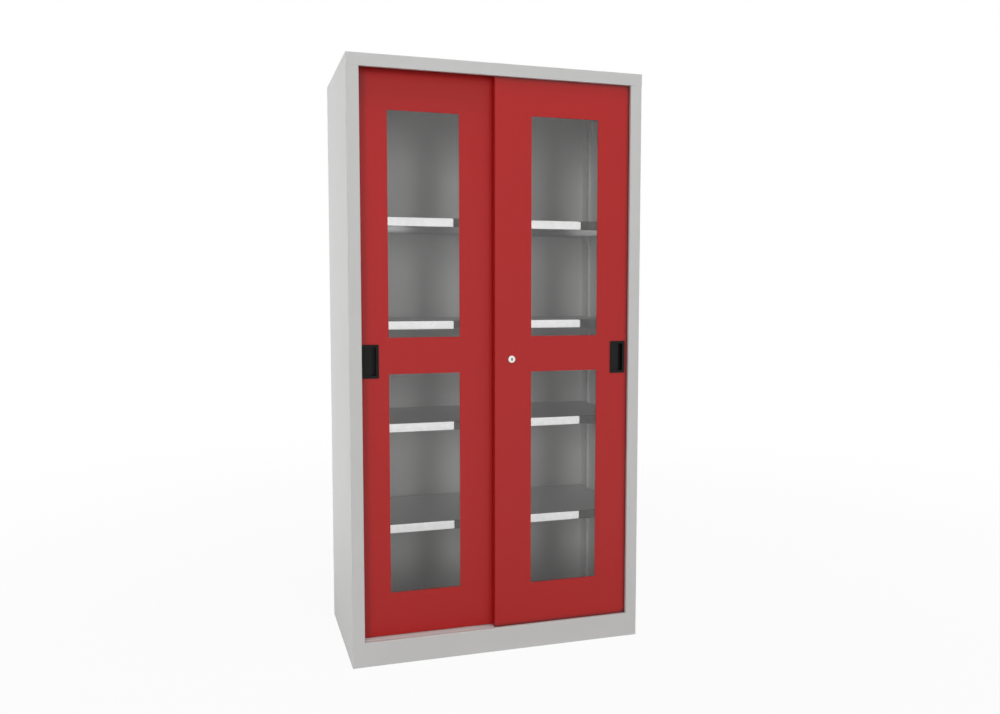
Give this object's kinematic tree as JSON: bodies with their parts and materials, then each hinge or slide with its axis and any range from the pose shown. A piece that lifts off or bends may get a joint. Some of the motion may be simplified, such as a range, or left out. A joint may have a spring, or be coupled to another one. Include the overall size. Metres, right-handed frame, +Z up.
{
  "type": "sliding door cabinet",
  "caption": "Tall sheet steel cabinet with two sliding doors on rollers, windows in the doors, flush pulls, a cam lock and adjustable shelves inside.",
  "frame": {"origin": "middle of the footprint, on the ground", "axes": "+Z up, front of the cabinet faces -Y, +X to the right seen from the front"},
  "size_m": [1, 0.52, 1.95],
  "materials": {
    "grey_powder_coat": "light grey powder coat, fine satin texture",
    "red_powder_coat": "red powder coat, fine satin texture",
    "galvanised_steel": "bright galvanised sheet",
    "zinc_plated_steel": "zinc plated, satin",
    "clear_plastic": "clear acrylic sheet",
    "black_plastic": "black moulded plastic, fine texture",
    "nylon": "natural nylon, moulded",
    "rubber": "black rubber",
    "nickel": "bright nickel plate"
  },
  "bodies": {
    "cabinet": {"left_side_panel": "grey_powder_coat", "right_side_panel": "grey_powder_coat", "top_panel": "grey_powder_coat", "back_panel": "grey_powder_coat", "base_floor": "grey_powder_coat", "plinth_front": "grey_powder_coat", "plinth_rear": "grey_powder_coat", "bottom_track": "grey_powder_coat", "upright_front_left": "grey_powder_coat", "upright_front_right": "grey_powder_coat", "upright_rear_left": "grey_powder_coat", "upright_rear_right": "grey_powder_coat", "track_screws": "zinc_plated_steel", "top_track": "zinc_plated_steel", "track_stop": "rubber", "wall_buffers": "rubber", "shelf_1": "galvanised_steel", "shelf_2": "galvanised_steel", "shelf_3": "galvanised_steel", "shelf_4": "galvanised_steel", "shelf_clips_1": "zinc_plated_steel", "shelf_clips_2": "zinc_plated_steel", "shelf_clips_3": "zinc_plated_steel", "shelf_clips_4": "zinc_plated_steel"},
    "rear_door": {"rear_door_panel": "red_powder_coat", "rear_upper_pane": "clear_plastic", "rear_lower_pane": "clear_plastic", "rear_upper_retainer": "zinc_plated_steel", "rear_lower_retainer": "zinc_plated_steel", "rear_nuts": "zinc_plated_steel", "rear_handle": "black_plastic", "rear_left_roller_plate": "zinc_plated_steel", "rear_right_roller_plate": "zinc_plated_steel", "rear_axles": "zinc_plated_steel", "rear_top_guides": "nylon", "rear_guide_screws": "zinc_plated_steel", "lock_keeper": "zinc_plated_steel", "keeper_screws": "zinc_plated_steel"},
    "front_door": {"front_door_panel": "red_powder_coat", "front_upper_pane": "clear_plastic", "front_lower_pane": "clear_plastic", "front_upper_retainer": "zinc_plated_steel", "front_lower_retainer": "zinc_plated_steel", "front_nuts": "zinc_plated_steel", "front_handle": "black_plastic", "front_left_roller_plate": "zinc_plated_steel", "front_right_roller_plate": "zinc_plated_steel", "front_axles": "zinc_plated_steel", "front_top_guides": "nylon", "front_guide_screws": "zinc_plated_steel", "lock_housing": "nickel", "lock_nut": "nickel"},
    "rear_left_roller": {"rear_left_roller": "nylon"},
    "rear_right_roller": {"rear_right_roller": "nylon"},
    "front_left_roller": {"front_left_roller": "nylon"},
    "front_right_roller": {"front_right_roller": "nylon"},
    "lock": {"lock_plug": "nickel", "lock_cam": "zinc_plated_steel", "lock_cam_screw": "zinc_plated_steel"}
  },
  "joints": [
    {"name": "rear_door_slide", "type": "slide", "parent": "cabinet", "child": "rear_door", "axis": [1, 0, 0], "range_m": [0, 0.375]},
    {"name": "front_door_slide", "type": "slide", "parent": "cabinet", "child": "front_door", "axis": [1, 0, 0], "range_m": [-0.475, 0]},
    {"name": "lock_turn", "type": "hinge", "parent": "front_door", "child": "lock", "pos_m": [0.041, -0.2475, 0.989], "axis": [0, 1, 0], "range_deg": [0, 90]},
    {"name": "rear_left_roller_spin", "type": "hinge", "parent": "rear_door", "child": "rear_left_roller", "pos_m": [-0.459, -0.201, 0.091], "axis": [0, 1, 0], "range_deg": [-5, 1873.3]},
    {"name": "rear_right_roller_spin", "type": "hinge", "parent": "rear_door", "child": "rear_right_roller", "pos_m": [-0.0162, -0.201, 0.091], "axis": [0, 1, 0], "range_deg": [-5, 1873.3]},
    {"name": "front_left_roller_spin", "type": "hinge", "parent": "front_door", "child": "front_left_roller", "pos_m": [0.0162, -0.235, 0.091], "axis": [0, 1, 0], "range_deg": [-2371.6, 5]},
    {"name": "front_right_roller_spin", "type": "hinge", "parent": "front_door", "child": "front_right_roller", "pos_m": [0.459, -0.235, 0.091], "axis": [0, 1, 0], "range_deg": [-2371.6, 5]}
  ],
  "couplings": [
    {"joint": "rear_left_roller_spin", "follows": "rear_door_slide", "rad_per_m": 86.957},
    {"joint": "rear_right_roller_spin", "follows": "rear_door_slide", "rad_per_m": 86.957},
    {"joint": "front_left_roller_spin", "follows": "front_door_slide", "rad_per_m": 86.957},
    {"joint": "front_right_roller_spin", "follows": "front_door_slide", "rad_per_m": 86.957}
  ]
}
